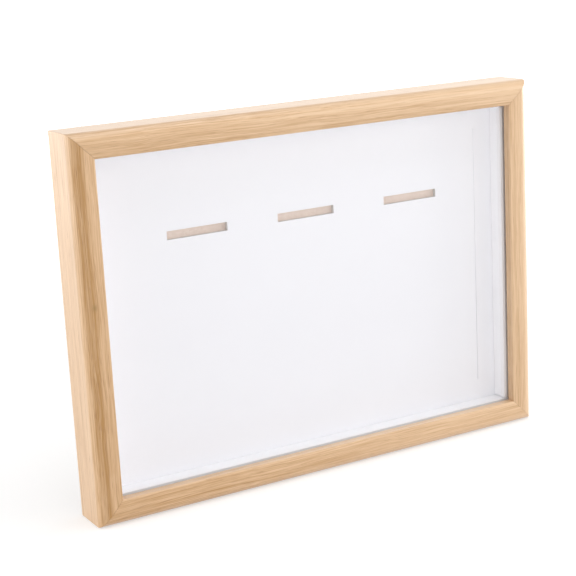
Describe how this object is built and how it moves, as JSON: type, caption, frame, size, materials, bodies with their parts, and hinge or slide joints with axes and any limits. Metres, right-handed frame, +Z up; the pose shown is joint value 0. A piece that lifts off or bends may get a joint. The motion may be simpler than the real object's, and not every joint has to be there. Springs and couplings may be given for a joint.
{
  "type": "medal shadow box",
  "caption": "Deep oak box frame with glazing, a white spacer, a white mat with ribbon slots for medals, and a removable back held by turn buttons.",
  "frame": {"origin": "middle of the footprint of the whole box, hardware on the back included, on the surface that the bottom rail stands on", "axes": "+X along the width to the right as seen from the front, +Y towards the back, +Z up"},
  "size_m": [0.316, 0.0352, 0.229],
  "materials": {
    "oak": "satin clear lacquer, fine straight grain",
    "clear_glass": "clear polished",
    "white_plastic": "matt",
    "white_card": "matt, smooth",
    "kraft_card": "pale brown kraft, matt",
    "fibreboard": "smooth sanded board",
    "zinc_steel": "zinc plated",
    "screw_steel": "yellow passivated zinc",
    "black_rubber": "matt"
  },
  "bodies": {
    "frame": {"rail_top": "oak", "spacer_top": "white_plastic", "rail_bottom": "oak", "spacer_bottom": "white_plastic", "rail_left": "oak", "spacer_left": "white_plastic", "rail_right": "oak", "spacer_right": "white_plastic", "glazing_sheet": "clear_glass", "mat_board": "white_card", "filler_board": "kraft_card", "backing_board": "fibreboard", "turn_button_screw_top_left": "screw_steel", "turn_button_screw_top_right": "screw_steel", "turn_button_screw_bottom_left": "screw_steel", "turn_button_screw_bottom_right": "screw_steel", "turn_button_screw_left": "screw_steel", "turn_button_screw_right": "screw_steel", "hanger_strap_left": "zinc_steel", "hanger_screw_left": "screw_steel", "hanger_strap_right": "zinc_steel", "hanger_screw_right": "screw_steel", "corner_nail_top_left": "zinc_steel", "bumper_top_left": "black_rubber", "corner_nail_top_right": "zinc_steel", "bumper_top_right": "black_rubber", "corner_nail_bottom_left": "zinc_steel", "bumper_bottom_left": "black_rubber", "corner_nail_bottom_right": "zinc_steel", "bumper_bottom_right": "black_rubber"},
    "turn_button_top_left": {"turn_button_top_left": "zinc_steel"},
    "turn_button_top_right": {"turn_button_top_right": "zinc_steel"},
    "turn_button_bottom_left": {"turn_button_bottom_left": "zinc_steel"},
    "turn_button_bottom_right": {"turn_button_bottom_right": "zinc_steel"},
    "turn_button_left": {"turn_button_left": "zinc_steel"},
    "turn_button_right": {"turn_button_right": "zinc_steel"},
    "hanger_ring_left": {"hanger_ring_left": "zinc_steel"},
    "hanger_ring_right": {"hanger_ring_right": "zinc_steel"}
  },
  "joints": [
    {"name": "turn_top_left", "type": "hinge", "parent": "frame", "child": "turn_button_top_left", "pos_m": [-0.08, 0.01325, 0.2245], "axis": [0, 1, 0], "continuous": true},
    {"name": "turn_top_right", "type": "hinge", "parent": "frame", "child": "turn_button_top_right", "pos_m": [0.08, 0.01325, 0.2245], "axis": [0, 1, 0], "continuous": true},
    {"name": "turn_bottom_left", "type": "hinge", "parent": "frame", "child": "turn_button_bottom_left", "pos_m": [-0.08, 0.01325, 0.0045], "axis": [0, 1, 0], "continuous": true},
    {"name": "turn_bottom_right", "type": "hinge", "parent": "frame", "child": "turn_button_bottom_right", "pos_m": [0.08, 0.01325, 0.0045], "axis": [0, 1, 0], "continuous": true},
    {"name": "turn_left", "type": "hinge", "parent": "frame", "child": "turn_button_left", "pos_m": [-0.1535, 0.01325, 0.1145], "axis": [0, 1, 0], "continuous": true},
    {"name": "turn_right", "type": "hinge", "parent": "frame", "child": "turn_button_right", "pos_m": [0.1535, 0.01325, 0.1145], "axis": [0, 1, 0], "continuous": true},
    {"name": "ring_swing_left", "type": "hinge", "parent": "frame", "child": "hanger_ring_left", "pos_m": [-0.1523, 0.0146, 0.168], "axis": [1, 0, 0], "range_deg": [0, 180]},
    {"name": "ring_swing_right", "type": "hinge", "parent": "frame", "child": "hanger_ring_right", "pos_m": [0.1523, 0.0146, 0.168], "axis": [1, 0, 0], "range_deg": [0, 180]}
  ]
}
